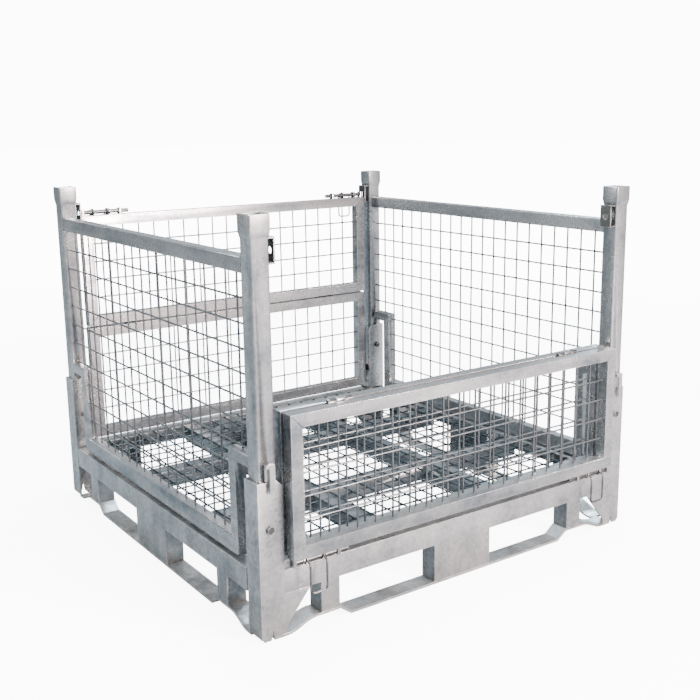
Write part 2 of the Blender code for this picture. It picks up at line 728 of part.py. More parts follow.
for end, end_name in ENDS.items():
    folded = end < 0
    gate, flap = f"{end_name}_gate", f"{end_name}_flap"
    body(gate, (0, end * PIVOT_Y, PIVOT_Z), "base")
    body(flap, (0, end * FOLD_OUT, GATE_SPLIT), gate)
    part(f"{end_name}_gate_frame", swung(lower_gate(), end, False), gate, "galvanised_tube")
    lower_mesh = gate_mesh(GATE_FOOT, GATE_SPLIT - SPLIT_GAP)
    part(f"{end_name}_gate_mesh", swung(lower_mesh, end, False), gate, "galvanised_wire")
    part(f"{end_name}_flap_frame", swung(upper_gate(), end, folded), flap, "galvanised_tube")
    upper_mesh = gate_mesh(GATE_SPLIT + SPLIT_GAP, RAIL_TOP)
    part(f"{end_name}_flap_mesh", swung(upper_mesh, end, folded), flap, "galvanised_wire")
    latch_z = 2 * GATE_SPLIT - LATCH_Z if folded else LATCH_Z
    latch_y = 2 * FOLD_OUT - GATE_MID if folded else GATE_MID
    for side, side_name in SIDES.items():
        # a piece built on the back gate's right is on the front gate's left once turned
        built = side * end
        knuckles = swung(hinge(built), end, folded)
        part(f"{end_name}_hinge_{side_name}", knuckles, flap, "zinc_fittings")
        bolt, bail = f"{end_name}_latch_{side_name}", f"{end_name}_bail_{side_name}"
        body(bolt, (side * (LATCH_TIP - LATCH_LONG), end * latch_y, latch_z), flap)
        part(bolt, swung(latch_bolt(built), end, folded), bolt, "zinc_fittings")
        body(bail, (side * BAIL_AT, end * latch_y, latch_z), bolt)
        loop = latch_bail(built)
        if folded:
            # on a folded half the loop has swung over its bolt, and hangs down again
            turned(loop, (0, GATE_MID, LATCH_Z), math.pi, "X")
        part(bail, swung(loop, end, folded), bail, "zinc_fittings")

# the whole stands with its origin under the middle of its outline, folded gate and all
front_reach = 2 * FOLD_OUT - GATE_MID + BAIL_OUT + BAIL_R
back_reach = POST_OUT + CATCH_OFF + 3 * CATCH_STRAP
bodies["base"].location.y = (front_reach - back_reach) / 2
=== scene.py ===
"""The look of a galvanised wire mesh pallet cage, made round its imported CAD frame.

The sections follow the cage as it is put together: studio, finishes, base, side frames,
gates, fittings. All places come from the frame's own boxes, in metres.
"""

import math

import bmesh
import bpy
from mathutils import Matrix, Vector


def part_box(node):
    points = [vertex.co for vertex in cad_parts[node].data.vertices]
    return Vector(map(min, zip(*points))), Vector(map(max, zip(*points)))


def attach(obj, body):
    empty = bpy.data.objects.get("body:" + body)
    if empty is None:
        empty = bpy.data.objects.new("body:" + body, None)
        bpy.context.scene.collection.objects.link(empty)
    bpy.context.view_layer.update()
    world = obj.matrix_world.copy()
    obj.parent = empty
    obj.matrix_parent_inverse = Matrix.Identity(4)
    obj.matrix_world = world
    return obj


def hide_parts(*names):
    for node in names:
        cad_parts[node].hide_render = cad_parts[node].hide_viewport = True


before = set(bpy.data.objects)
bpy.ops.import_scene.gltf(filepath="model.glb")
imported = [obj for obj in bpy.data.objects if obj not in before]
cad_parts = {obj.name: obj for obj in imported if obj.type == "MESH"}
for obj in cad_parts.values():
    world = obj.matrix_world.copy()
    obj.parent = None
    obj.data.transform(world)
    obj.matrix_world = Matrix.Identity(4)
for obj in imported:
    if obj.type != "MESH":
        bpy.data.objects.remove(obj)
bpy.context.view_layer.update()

SIDES = {"left": -1, "right": 1}
ENDS = {"front": -1, "back": 1}

# ---- camera ---------------------------------------------------------------------------
# Stands off the front left corner, a little above the posts, and looks slightly down.
CAMERA_AT = (-1.5852, -2.3625, 1.1380)
CAMERA_YAW = math.radians(34.873)       # from +Y towards +X
CAMERA_DOWN = math.radians(12.184)
CAMERA_ROLL = math.radians(-0.805)
CAMERA_LENS = 52.2

look = Vector((
    math.sin(CAMERA_YAW) * math.cos(CAMERA_DOWN),
    math.cos(CAMERA_YAW) * math.cos(CAMERA_DOWN), -math.sin(CAMERA_DOWN)))
level = Vector((math.cos(CAMERA_YAW), -math.sin(CAMERA_YAW), 0))
right = level * math.cos(CAMERA_ROLL) + level.cross(look) * math.sin(CAMERA_ROLL)
camera_data = bpy.data.cameras.new("studio_camera")
camera_data.lens = CAMERA_LENS
camera_data.shift_y = -0.0223
camera = bpy.data.objects.new("studio_camera", camera_data)
bpy.context.scene.collection.objects.link(camera)
turn = Matrix((right, right.cross(look), -look)).transposed().to_4x4()
camera.matrix_world = Matrix.Translation(CAMERA_AT) @ turn
bpy.context.scene.camera = camera

# ---- studio ---------------------------------------------------------------------------
# A pale round floor that brightens into the backdrop, under large soft lights. The sky is
# graded, bright overhead and dim at the horizon, and the floor looks greyer in reflections
# than it does straight on, so that bare metal has dark and light to mirror.
FLOOR_RADIUS = 40.0
FLOOR_PALE = (0.95, 0.95, 0.95, 1)
BACKDROP = 12.0             # the backdrop's own brightness
SKY_LOW = 0.06
SKY_HIGH = 1.3
FLOOR_GLOW = 8.0            # round the cage, so that only its own soft shadow shows
FLOOR_FADE = (1.6, 6.0)     # from the glow to the backdrop's brightness
FLOOR_MIRRORED = (0.28, 0.31, 0.33, 1)      # what the zinc sees of it

LIGHTS_FACE = Vector((0, 0, 0.45))
LIGHTS = (
    # name, place, width, watts, colour
    ("key_light", (1.2, -4.0, 1.5), 1.5, 800, (1.0, 0.78, 0.72)),
    ("front_fill", (-1.2, -4.2, 2.4), 1.8, 120, (1.0, 0.93, 0.90)),
    ("left_light", (-3.4, 1.6, 1.4), 1.0, 90, (1.0, 0.95, 0.92)),
    ("right_fill", (4.4, 2.0, 2.4), 1.4, 110, (0.72, 0.88, 1.0)),
    ("top_light", (0.2, 0.8, 4.2), 1.8, 290, (0.80, 0.92, 1.0)),
)


def linked(name, data):
    """An object at the origin that holds the data."""
    thing = bpy.data.objects.new(name, data)
    bpy.context.scene.collection.objects.link(thing)
    return thing


def meshed(name, bm, smooth_angle=math.radians(38)):
    """The bmesh as an object, shaded smooth except over sharp edges."""
    mesh = bpy.data.meshes.new(name)
    bm.to_mesh(mesh)
    bm.free()
    mesh.shade_smooth()
    mesh.set_sharp_from_angle(angle=smooth_angle)
    return linked(name, mesh)


def add(tree, kind, ins=(), **settings):
    """Add a node, and give each named input a value or a link."""
    node = tree.nodes.new(kind)
    for key, value in settings.items():
        setattr(node, key, value)
    for key, value in dict(ins).items():
        if isinstance(value, bpy.types.NodeSocket):
            tree.links.new(value, node.inputs[key])
        else:
            node.inputs[key].default_value = value
    return node


disc = bmesh.new()
bmesh.ops.create_circle(disc, cap_ends=True, segments=64, radius=FLOOR_RADIUS)
floor = meshed("studio_floor", disc)
paper = bpy.data.materials.new("pale_paper")
paper.use_nodes = True
paper_tree = paper.node_tree
paper_tree.nodes.remove(paper_tree.nodes["Principled BSDF"])
away = add(paper_tree, "ShaderNodeVectorMath", {
    0: paper_tree.nodes.new("ShaderNodeTexCoord").outputs["Object"]}, operation="LENGTH")
glow = add(paper_tree, "ShaderNodeMapRange", {
    "Value": away.outputs["Value"], "From Min": FLOOR_FADE[0], "From Max": FLOOR_FADE[1],
    "To Min": FLOOR_GLOW, "To Max": BACKDROP}, interpolation_type="SMOOTHSTEP").outputs["Result"]
lit = add(paper_tree, "ShaderNodeAddShader", {
    0: add(paper_tree, "ShaderNodeBsdfDiffuse", {"Color": FLOOR_PALE}).outputs[0],
    1: add(paper_tree, "ShaderNodeEmission", {"Strength": glow}).outputs[0]})
mirrored = add(paper_tree, "ShaderNodeBsdfDiffuse", {"Color": FLOOR_MIRRORED})
faced = add(paper_tree, "ShaderNodeMixShader", {
    0: paper_tree.nodes.new("ShaderNodeLightPath").outputs["Is Camera Ray"],
    1: mirrored.outputs[0], 2: lit.outputs[0]})
paper_tree.links.new(faced.outputs[0], paper_tree.nodes["Material Output"].inputs["Surface"])
floor.data.materials.append(paper)

for name, place, size, energy, colour in LIGHTS:
    lamp = bpy.data.lights.new(name, "AREA")
    lamp.shape = "DISK"
    lamp.size = size
    lamp.energy = energy
    lamp.color = colour
    light = linked(name, lamp)
    light.location = place
    aim = LIGHTS_FACE - Vector(place)
    light.rotation_euler = aim.to_track_quat("-Z", "Y").to_euler()


# ---- finishes -------------------------------------------------------------------------
# Everything is hot-dip galvanised after welding, so one skin of zinc covers it: crystals
# a few millimetres wide, cloudy patches, and faint runs along the way it was drained.
def new_group(name, kind, ins, outs):
    """A node group with named inputs and outputs, and its two end nodes."""
    tree = bpy.data.node_groups.new(name, kind)
    for label, socket in ins:
        tree.interface.new_socket(label, in_out="INPUT", socket_type="NodeSocket" + socket)
    for label, socket in outs:
        tree.interface.new_socket(label, in_out="OUTPUT", socket_type="NodeSocket" + socket)
    return tree, tree.nodes.new("NodeGroupInput").outputs, tree.nodes.new("NodeGroupOutput").inputs


MIX_A, MIX_B, MIX_OUT = 6, 7, 2         # a colour mix's own sockets


def blended(tree, factor, first, second, how="MIX"):
    mix = add(tree, "ShaderNodeMix", {0: factor, MIX_A: first, MIX_B: second},
              data_type="RGBA", blend_type=how)
    return mix.outputs[MIX_OUT]


def maths(tree, operation, first, second=0.0):
    return add(tree, "ShaderNodeMath", {0: first, 1: second}, operation=operation).outputs[0]


def ranged(tree, value, low, high, to_low, to_high):
    return add(tree, "ShaderNodeMapRange", {
        "Value": value, "From Min": low, "From Max": high,
        "To Min": to_low, "To Max": to_high}).outputs["Result"]


skin, given, gives = new_group(
    "zinc_skin", "ShaderNodeTree",
    (("Vector", "Vector"), ("Run", "Vector"), ("Dark", "Color"), ("Light", "Color"),
     ("Crystal", "Float"), ("Roughness", "Float")),
    (("Colour", "Color"), ("Roughness", "Float"), ("Height", "Float")))
crystal = add(skin, "ShaderNodeTexVoronoi", {"Vector": given["Vector"], "Scale": 130.0})
facet = add(skin, "ShaderNodeSeparateColor", {0: crystal.outputs["Color"]}).outputs[0]
cloud = add(skin, "ShaderNodeTexNoise", {
    "Vector": given["Vector"], "Scale": 7.0, "Detail": 4.0, "Roughness": 0.6}).outputs[0]
drained = add(skin, "ShaderNodeTexNoise", {
    "Vector": given["Run"], "Scale": 24.0, "Detail": 5.0, "Roughness": 0.62}).outputs[0]
grit = add(skin, "ShaderNodeTexNoise", {
    "Vector": given["Vector"], "Scale": 420.0, "Detail": 2.0}).outputs[0]
tone = maths(skin, "ADD", ranged(skin, cloud, 0.3, 0.7, 0.0, 0.5),
             ranged(skin, drained, 0.3, 0.7, 0.0, 0.5))
tone = maths(skin, "ADD", tone, maths(
    skin, "MULTIPLY", maths(skin, "SUBTRACT", facet, 0.5), given["Crystal"]))
skin.links.new(blended(skin, tone, given["Dark"], given["Light"]), gives["Colour"])
skin.links.new(maths(skin, "ADD", given["Roughness"], ranged(
    skin, tone, 0.0, 1.0, 0.09, -0.09)), gives["Roughness"])
skin.links.new(maths(skin, "ADD", maths(skin, "MULTIPLY", facet, given["Crystal"]), maths(
    skin, "MULTIPLY", grit, 0.35)), gives["Height"])

# Painted highlight: along rounded edges, where the bevelled normal turns away from the face's own
# normal, the colour is mixed towards near-white and broken up by noise.
edge_highlight_tree, given, gives = new_group(
    "painted_edge_highlights", "ShaderNodeTree",
    (("Vector", "Vector"), ("Colour", "Color"), ("Bright", "Color"), ("Amount", "Float")),
    (("Colour", "Color"),))
rounded = add(edge_highlight_tree, "ShaderNodeBevel", {"Radius": 0.003}, samples=4).outputs[0]
plain = edge_highlight_tree.nodes.new("ShaderNodeNewGeometry").outputs["Normal"]
turned_away = maths(edge_highlight_tree, "SUBTRACT", 1.0, add(
    edge_highlight_tree, "ShaderNodeVectorMath", {0: rounded, 1: plain}, operation="DOT_PRODUCT").outputs["Value"])
broken = add(edge_highlight_tree, "ShaderNodeTexNoise", {
    "Vector": given["Vector"], "Scale": 46.0, "Detail": 3.0}).outputs[0]
painted_highlight_mask = maths(edge_highlight_tree, "MULTIPLY", ranged(edge_highlight_tree, turned_away, 0.015, 0.16, 0.0, 1.0),
               ranged(edge_highlight_tree, broken, 0.38, 0.62, 0.25, 1.0))
painted_highlight_mask = maths(edge_highlight_tree, "MULTIPLY", painted_highlight_mask, given["Amount"])
edge_highlight_tree.links.new(blended(edge_highlight_tree, painted_highlight_mask, given["Colour"], given["Bright"]), gives["Colour"])

dust, given, gives = new_group(
    "settled_dust", "ShaderNodeTree",
    (("Vector", "Vector"), ("Colour", "Color"), ("Dust", "Color"), ("Amount", "Float")),
    (("Colour", "Color"), ("Mask", "Float")))
axes = add(dust, "ShaderNodeSeparateXYZ", {0: given["Vector"]}).outputs
facing = add(dust, "ShaderNodeSeparateXYZ", {
    0: dust.nodes.new("ShaderNodeNewGeometry").outputs["Normal"]}).outputs
speckle = add(dust, "ShaderNodeTexNoise", {
    "Vector": given["Vector"], "Scale": 32.0, "Detail": 4.0}).outputs[0]
lying = maths(dust, "MULTIPLY", ranged(dust, facing[2], 0.6, 1.0, 0.0, 0.5),
              ranged(dust, speckle, 0.4, 0.7, 0.2, 1.0))
kicked_up = maths(dust, "MULTIPLY", ranged(dust, axes[2], 0.0, 0.16, 0.5, 0.0),
                  ranged(dust, speckle, 0.42, 0.66, 0.0, 1.0))
settled = maths(dust, "MULTIPLY", maths(dust, "ADD", lying, kicked_up), given["Amount"])
dust.links.new(blended(dust, settled, given["Colour"], given["Dust"]), gives["Colour"])
dust.links.new(settled, gives["Mask"])


def grouped(tree, group, ins):
    node = add(tree, "ShaderNodeGroup", node_tree=group)
    for key, value in ins.items():
        if isinstance(value, bpy.types.NodeSocket):
            tree.links.new(value, node.inputs[key])
        else:
            node.inputs[key].default_value = value
    return node.outputs


# The colour of the painted edge highlight.
PAINTED_HIGHLIGHT_COLOUR = (0.86, 0.86, 0.85, 1)
DUST_GREY = (0.20, 0.195, 0.185, 1)


def galvanised(name, dark, light, run, crystal_depth, roughness, painted_highlight_amount, dusty, metallic=0.82):
    """A zinc finish. run squeezes the drained streaks along the way that they lie."""
    material = bpy.data.materials.new(name)
    material.use_nodes = True
    tree = material.node_tree
    shader = tree.nodes["Principled BSDF"]
    place = tree.nodes.new("ShaderNodeTexCoord").outputs["Object"]
    runs = add(tree, "ShaderNodeMapping", {"Vector": place, "Scale": run}).outputs[0]
    zinc = grouped(tree, skin, {
        "Vector": place, "Run": runs, "Dark": (*dark, 1), "Light": (*light, 1),
        "Crystal": crystal_depth, "Roughness": roughness})
    # Painted highlight along the edges.
    edges = grouped(tree, edge_highlight_tree, {
        "Vector": place, "Colour": zinc["Colour"], "Bright": PAINTED_HIGHLIGHT_COLOUR,
        "Amount": painted_highlight_amount})
    settled = grouped(tree, dust, {
        "Vector": place, "Colour": edges["Colour"], "Dust": DUST_GREY,
        "Amount": dusty})
    tree.links.new(settled["Colour"], shader.inputs["Base Color"])
    tree.links.new(maths(tree, "ADD", zinc["Roughness"], maths(
        tree, "MULTIPLY", settled["Mask"], 0.3)), shader.inputs["Roughness"])
    bump = add(tree, "ShaderNodeBump", {
        "Height": zinc["Height"], "Strength": 0.35, "Distance": 0.0004})
    tree.links.new(bump.outputs[0], shader.inputs["Normal"])
    shader.inputs["Metallic"].default_value = metallic
    return material


COOL, PALE = (0.075, 0.105, 0.13), (0.58, 0.585, 0.585)
tube_upright = galvanised("zinc_tube_upright", COOL, PALE, (1, 1, 0.12), 0.16, 0.29, 0.9, 0.3)
tube_across = galvanised("zinc_tube_across", COOL, PALE, (0.12, 1, 1), 0.16, 0.29, 0.9, 0.4)
tube_along = galvanised("zinc_tube_along", COOL, PALE, (1, 0.12, 1), 0.16, 0.29, 0.9, 0.4)
sheet_zinc = galvanised(
    "zinc_sheet", (0.12, 0.145, 0.165), (0.62, 0.63, 0.63), (0.5, 0.5, 0.2), 0.24, 0.32, 0.8, 0.6)
wire_zinc = galvanised(
    "zinc_wire", (0.05, 0.065, 0.075), (0.22, 0.24, 0.25), (1, 1, 1), 0.08, 0.33, 0.0, 0.2)
weld_zinc = galvanised(
    "zinc_weld", (0.06, 0.075, 0.085), (0.20, 0.215, 0.225), (1, 1, 1), 0.30, 0.48, 0.0, 0.5)
fitting_zinc = galvanised(
    "zinc_fitting", (0.03, 0.034, 0.038), (0.13, 0.135, 0.135), (1, 1, 1), 0.12, 0.34, 1.0, 0.4)
# Painted shade: the deck's wire is the same zinc as the panels' wire, coloured much darker to stand
# in for the shade inside the cage under the side panels.
deck_wire_painted_shade = galvanised(
    "zinc_deck_wire_painted_shade", (0.015, 0.026, 0.034), (0.055, 0.08, 0.095), (1, 1, 1), 0.08, 0.36, 0.0, 0.3)


sky = bpy.data.worlds.new("studio_sky")
sky.use_nodes = True
air = sky.node_tree
upward = add(air, "ShaderNodeSeparateXYZ", {
    0: air.nodes.new("ShaderNodeTexCoord").outputs["Generated"]}).outputs[2]
graded = ranged(air, upward, -0.05, 0.75, SKY_LOW, SKY_HIGH)
overhead = add(air, "ShaderNodeBackground", {
    "Color": (0.90, 0.96, 1.0, 1), "Strength": graded}).outputs[0]
behind = add(air, "ShaderNodeBackground", {
    "Color": (1, 1, 1, 1), "Strength": BACKDROP}).outputs[0]
seen = air.nodes.new("ShaderNodeLightPath").outputs["Is Camera Ray"]
both = add(air, "ShaderNodeMixShader", {0: seen, 1: overhead, 2: behind}).outputs[0]
air.links.new(both, air.nodes["World Output"].inputs["Surface"])
bpy.context.scene.world = sky


def carried(piece, body, slot_name, *nodes):
    """The piece rides on a body and stands for the CAD nodes named."""
    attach(piece, body)
    if nodes:
        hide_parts(*nodes)


def eased(node, width, material, body, slot_name, segments=3):
    """The CAD solid with its edges rounded, as drawn tube and pressed sheet have them."""
    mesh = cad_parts[node].data.copy()
    bm = bmesh.new()
    bm.from_mesh(mesh)
    bmesh.ops.remove_doubles(bm, verts=bm.verts, dist=2e-6)
    bmesh.ops.recalc_face_normals(bm, faces=bm.faces)
    piece = meshed(node + "_steel", bm)
    piece.data.materials.clear()
    piece.data.materials.append(material)
    bevel = piece.modifiers.new("rounding", "BEVEL")
    bevel.width = width
    bevel.segments = segments
    bevel.limit_method = "ANGLE"
    bevel.angle_limit = math.radians(40)
    bevel.use_clamp_overlap = True
    bevel.harden_normals = False
    carried(piece, body, slot_name, node)
    return piece


# ---- base -----------------------------------------------------------------------------
# Folded sheet aprons with fork openings, corner stubs that the side frames stand in, and
# flat skid straps, all pressed from plate and welded.
SHEET_EDGE = 0.0012
STUB_EDGE = 0.0022
for end in ENDS:
    eased(f"apron_{end}", SHEET_EDGE, sheet_zinc, "base", "galvanised_sheet")
    eased(f"skid_strap_{end}", SHEET_EDGE, sheet_zinc, "base", "galvanised_sheet")
    for side in SIDES:
        eased(f"corner_stub_{end}_{side}", STUB_EDGE, sheet_zinc, "base", "galvanised_sheet")
for side in SIDES:
    eased(f"apron_{side}", SHEET_EDGE, sheet_zinc, "base", "galvanised_sheet")
    eased(f"skid_strap_{side}", SHEET_EDGE, sheet_zinc, "base", "galvanised_sheet")
# The bearers are pressed channels, duller than the tubes, and lie under the deck mesh; their zinc
# is coloured darker as painted shade from the mesh above them.
bearer_painted_shade = galvanised(
    "zinc_bearer_painted_shade", (0.06, 0.08, 0.095), (0.30, 0.33, 0.35), (0.12, 0.12, 1), 0.16, 0.34, 0.4, 0.5)
eased("deck_bearers", SHEET_EDGE, bearer_painted_shade, "base", "galvanised_tube")

# ---- welded mesh ----------------------------------------------------------------------
# Each panel is two layers of 5 mm wire at 50 to 54 mm, pressed into each other and fused where
# they cross. The tree lays both layers and puts a flattened nugget at each crossing.
WIRE_R = 0.0025
WIRE_SINK = 0.0006          # how far the two layers are pressed together
COLUMN_PITCH = 0.0500
ROW_PITCH = 0.0540
WIRE_SIDES = 8
NUGGET_SIDES = 8
NUGGET_RINGS = 4

VECTORS = ("Uprights Start", "Uprights Run", "Uprights Step",
           "Rods Start", "Rods Run", "Rods Step", "Crossing")
panel_tree, given, gives = new_group(
    "welded_panel", "GeometryNodeTree",
    tuple((label, "Vector") for label in VECTORS)
    + (("Uprights", "Int"), ("Rods", "Int"), ("Radius", "Float"), ("Seed", "Int"),
       ("Wire Finish", "Material"), ("Weld Finish", "Material")),
    (("Geometry", "Geometry"),))


def wire_layer(tree, layer):
    """A row of like wires, one step apart."""
    far = add(tree, "ShaderNodeVectorMath", {
        0: given[layer + " Start"], 1: given[layer + " Run"]}, operation="ADD").outputs[0]
    line = add(tree, "GeometryNodeCurvePrimitiveLine", {
        "Start": given[layer + " Start"], "End": far})
    ring = add(tree, "GeometryNodeCurvePrimitiveCircle", {
        "Resolution": WIRE_SIDES, "Radius": given["Radius"]})
    one = add(tree, "GeometryNodeCurveToMesh", {
        "Curve": line.outputs[0], "Profile Curve": ring.outputs[0], "Fill Caps": True})
    row = add(tree, "GeometryNodeMeshLine", {
        "Count": given[layer], "Offset": given[layer + " Step"]})
    laid = add(tree, "GeometryNodeInstanceOnPoints", {
        "Points": row.outputs[0], "Instance": one.outputs[0]})
    real = add(tree, "GeometryNodeRealizeInstances", {0: laid.outputs[0]})
    return add(tree, "GeometryNodeSetMaterial", {
        "Geometry": real.outputs[0], "Material": given["Wire Finish"]}).outputs[0]


across = add(panel_tree, "GeometryNodeMeshLine", {
    "Count": given["Uprights"], "Start Location": given["Crossing"],
    "Offset": given["Uprights Step"]})
up = add(panel_tree, "GeometryNodeMeshLine", {
    "Count": given["Rods"], "Offset": given["Rods Step"]})
crossings = add(panel_tree, "GeometryNodeInstanceOnPoints", {
    "Points": across.outputs[0], "Instance": up.outputs[0]})
crossings = add(panel_tree, "GeometryNodeRealizeInstances", {0: crossings.outputs[0]})
nugget = add(panel_tree, "GeometryNodeMeshUVSphere", {
    "Segments": NUGGET_SIDES, "Rings": NUGGET_RINGS, "Radius": WIRE_R})
swell = add(panel_tree, "FunctionNodeRandomValue", {
    "Min": (0.95, 0.95, 0.95), "Max": (1.35, 1.35, 1.35), "Seed": given["Seed"]},
    data_type="FLOAT_VECTOR")
welds = add(panel_tree, "GeometryNodeInstanceOnPoints", {
    "Points": crossings.outputs[0], "Instance": nugget.outputs[0], "Scale": swell.outputs[0]})
welds = add(panel_tree, "GeometryNodeRealizeInstances", {0: welds.outputs[0]})
welds = add(panel_tree, "GeometryNodeSetMaterial", {
    "Geometry": welds.outputs[0], "Material": given["Weld Finish"]})
panel = panel_tree.nodes.new("GeometryNodeJoinGeometry")
for source in (wire_layer(panel_tree, "Uprights"), wire_layer(panel_tree, "Rods"),
               welds.outputs[0]):
    panel_tree.links.new(source, panel.inputs[0])
panel_tree.links.new(panel.outputs[0], gives["Geometry"])


def grown(name, tree, values):
    """Run a Geometry Nodes tree once, and keep what it makes as a plain mesh."""
    holder = linked(name + "_tree", bpy.data.meshes.new(name + "_tree"))
    modifier = holder.modifiers.new("tree", "NODES")
    modifier.node_group = tree
    sockets = {item.name: item.identifier for item in tree.interface.items_tree
               if item.in_out == "INPUT"}
    for label, value in values.items():
        modifier[sockets[label]] = value
    graph = bpy.context.evaluated_depsgraph_get()
    mesh = bpy.data.meshes.new_from_object(holder.evaluated_get(graph))
    bpy.data.objects.remove(holder)
    mesh.name = name
    mesh.shade_smooth()
    mesh.set_sharp_from_angle(angle=math.radians(50))
    return mesh


def spread(low, high, near_pitch):
    """How many wires fit between two edges, how far apart, and where the first one is."""
    count = max(1, round((high - low) / near_pitch) - 1)
    pitch = (high - low) / (count + 1)
    return count, pitch, low + pitch


def flat_panel(u, v, w):
    """Lies flat: along X, then along Y."""
    return Vector((u, v, w))


def side_panel(u, v, w):
    """Stands facing X: along Y, then up."""
    return Vector((w, u, v))


def end_panel(u, v, w):
    """Stands facing Y: along X, then up."""
    return Vector((u, w, v))


def panel_mesh(name, lows, highs, middle, lay, seed, columns, rows, wire_finish=wire_zinc):
    """A mesh panel between two corners. lay turns (along, up, out) into a place, and
    columns and rows are each a count, a pitch and the first one's place."""
    out = WIRE_R - WIRE_SINK
    uprights, step_u, first_u = columns
    rods, step_v, first_v = rows
    corner = lay(0, 0, 0)
    return grown(name, panel_tree, {
        "Uprights Start": lay(first_u, lows[1], middle + out),
        "Uprights Run": lay(0, highs[1] - lows[1], 0) - corner,
        "Uprights Step": lay(step_u, 0, 0) - corner, "Uprights": uprights,
        "Rods Start": lay(lows[0], first_v, middle - out),
        "Rods Run": lay(highs[0] - lows[0], 0, 0) - corner,
        "Rods Step": lay(0, step_v, 0) - corner, "Rods": rods,
        "Crossing": lay(first_u, first_v, middle), "Radius": WIRE_R, "Seed": seed,
        "Wire Finish": wire_finish, "Weld Finish": weld_zinc})


def one_mesh(name, meshes):
    """Several meshes with the same finishes as one object."""
    bm = bmesh.new()
    for mesh in meshes:
        bm.from_mesh(mesh)
    piece = meshed(name, bm, math.radians(50))
    for material in meshes[0].materials:
        piece.data.materials.append(material)
    return piece


low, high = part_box("deck_mesh")
deck = one_mesh("deck_mesh_wires", [panel_mesh(
    "deck", (low[0], low[1]), (high[0], high[1]), (low[2] + high[2]) / 2, flat_panel, 3,
    spread(low[0], high[0], COLUMN_PITCH), spread(low[1], high[1], COLUMN_PITCH), deck_wire_painted_shade)])
carried(deck, "base", "galvanised_wire", "deck_mesh")

# ---- side frames ----------------------------------------------------------------------
# Two square posts with swaged tops, a deep top rail, and a lower frame that is notched
# round the stubs, with the mesh welded into both.
POST_ROUND = 0.0045
POST_CORNER = 4             # steps round each corner of a post
SWAGE_LOW = 0.052           # the swage starts this far below the top
SWAGE_NECK = 0.036
SWAGE_OUT = 0.0035          # how far the swage stands out from the tube
RIM_ROUND = 0.0012
SOCKET_WALL = 0.0032
SOCKET_DEEP = 0.30
SLOT_HALF = 0.0072          # the slot in which the post rides up over its bolt
SLOT_LIFT = 0.060
SLOT_STEPS = 10
SLOT_CUTTER = 0.05          # past the post's faces on both sides
RAIL_ROUND = 0.0030
STILE_INSET = 0.0910        # from the end of the lower frame to its stile's inner face


def kept(wires, low, high):
    """The wires of a row that lie between two edges."""
    count, pitch, first = wires
    inside = [first + pitch * k for k in range(count)
              if low + WIRE_R < first + pitch * k < high - WIRE_R]
    return len(inside), pitch, inside[0]


def square_ring(bm, middle, half, radius, z):
    """A square of vertices with round corners."""
    ring = []
    for quarter in range(4):
        start = quarter * math.pi / 2
        corner = Vector((math.cos(start + math.pi / 4), math.sin(start + math.pi / 4)))
        centre = Vector(middle) + corner * math.sqrt(2) * (half - radius)
        for step in range(POST_CORNER + 1):
            angle = start + math.pi / 2 * step / POST_CORNER
            ring.append(bm.verts.new((
                centre.x + radius * math.cos(angle), centre.y + radius * math.sin(angle), z)))
    return ring


def skinned(bm, rings):
    """Faces between each ring of vertices and the next."""
    for lower, upper in zip(rings, rings[1:]):
        for index in range(len(lower)):
            after = (index + 1) % len(lower)
            bm.faces.new((lower[index], lower[after], upper[after], upper[index]))


def cut_slot(post, middle, low_z, high_z):
    """A round-ended slot right through the post, front to back."""
    bm = bmesh.new()
    rim = []
    for start, z in ((0, high_z), (math.pi, low_z)):
        for step in range(SLOT_STEPS + 1):
            angle = start + math.pi * step / SLOT_STEPS
            rim.append((middle[0] + SLOT_HALF * math.cos(angle), z + SLOT_HALF * math.sin(angle)))
    near, far = ([bm.verts.new((x, middle[1] + y, z)) for x, z in rim]
                 for y in (-SLOT_CUTTER, SLOT_CUTTER))
    skinned(bm, (near, far))
    bm.faces.new(near)
    bm.faces.new(far)
    bmesh.ops.recalc_face_normals(bm, faces=bm.faces)
    cutter = meshed("slot_cutter", bm)
    cut = post.modifiers.new("slot", "BOOLEAN")
    cut.operation = "DIFFERENCE"
    cut.object = cutter
    graph = bpy.context.evaluated_depsgraph_get()
    solid = bpy.data.meshes.new_from_object(post.evaluated_get(graph))
    post.modifiers.clear()
    post.data = solid
    bpy.data.objects.remove(cutter)


def swaged_post(side, end):
    """A tube with a flared, open top that takes the lug of the cage above."""
    node = f"{side}_post_{end}"
    low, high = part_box(node)
    middle = ((low[0] + high[0]) / 2, (low[1] + high[1]) / 2)
    wide = (high[0] - low[0]) / 2
    half = wide - SWAGE_OUT
    inner = half - SOCKET_WALL
    top = high[2]
    bm = bmesh.new()
    sections = (
        (half - 0.001, low[2]), (half, low[2] + 0.001), (half, top - SWAGE_LOW),
        (half + RIM_ROUND, top - SWAGE_LOW + 0.004), (wide, top - SWAGE_NECK),
        (wide, top - RIM_ROUND), (wide - RIM_ROUND, top), (inner + 0.0030 + RIM_ROUND, top),
        (inner + 0.0030, top - RIM_ROUND),
        (inner + 0.0030, top - SWAGE_NECK), (inner, top - SWAGE_LOW), (inner, top - SOCKET_DEEP))
    rings = [square_ring(bm, middle, h, POST_ROUND, z) for h, z in sections]
    skinned(bm, rings)
    bm.faces.new(rings[0][::-1])
    bm.faces.new(rings[-1])
    bmesh.ops.recalc_face_normals(bm, faces=bm.faces)
    post = meshed(node + "_steel", bm)
    post.data.materials.append(tube_upright)
    bolt_low, bolt_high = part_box(f"{side}_pivot_bolt_{end}")
    bolt_z = (bolt_low[2] + bolt_high[2]) / 2
    cut_slot(post, middle, bolt_z - SLOT_LIFT, bolt_z)
    carried(post, f"{side}_side", "galvanised_tube", node)


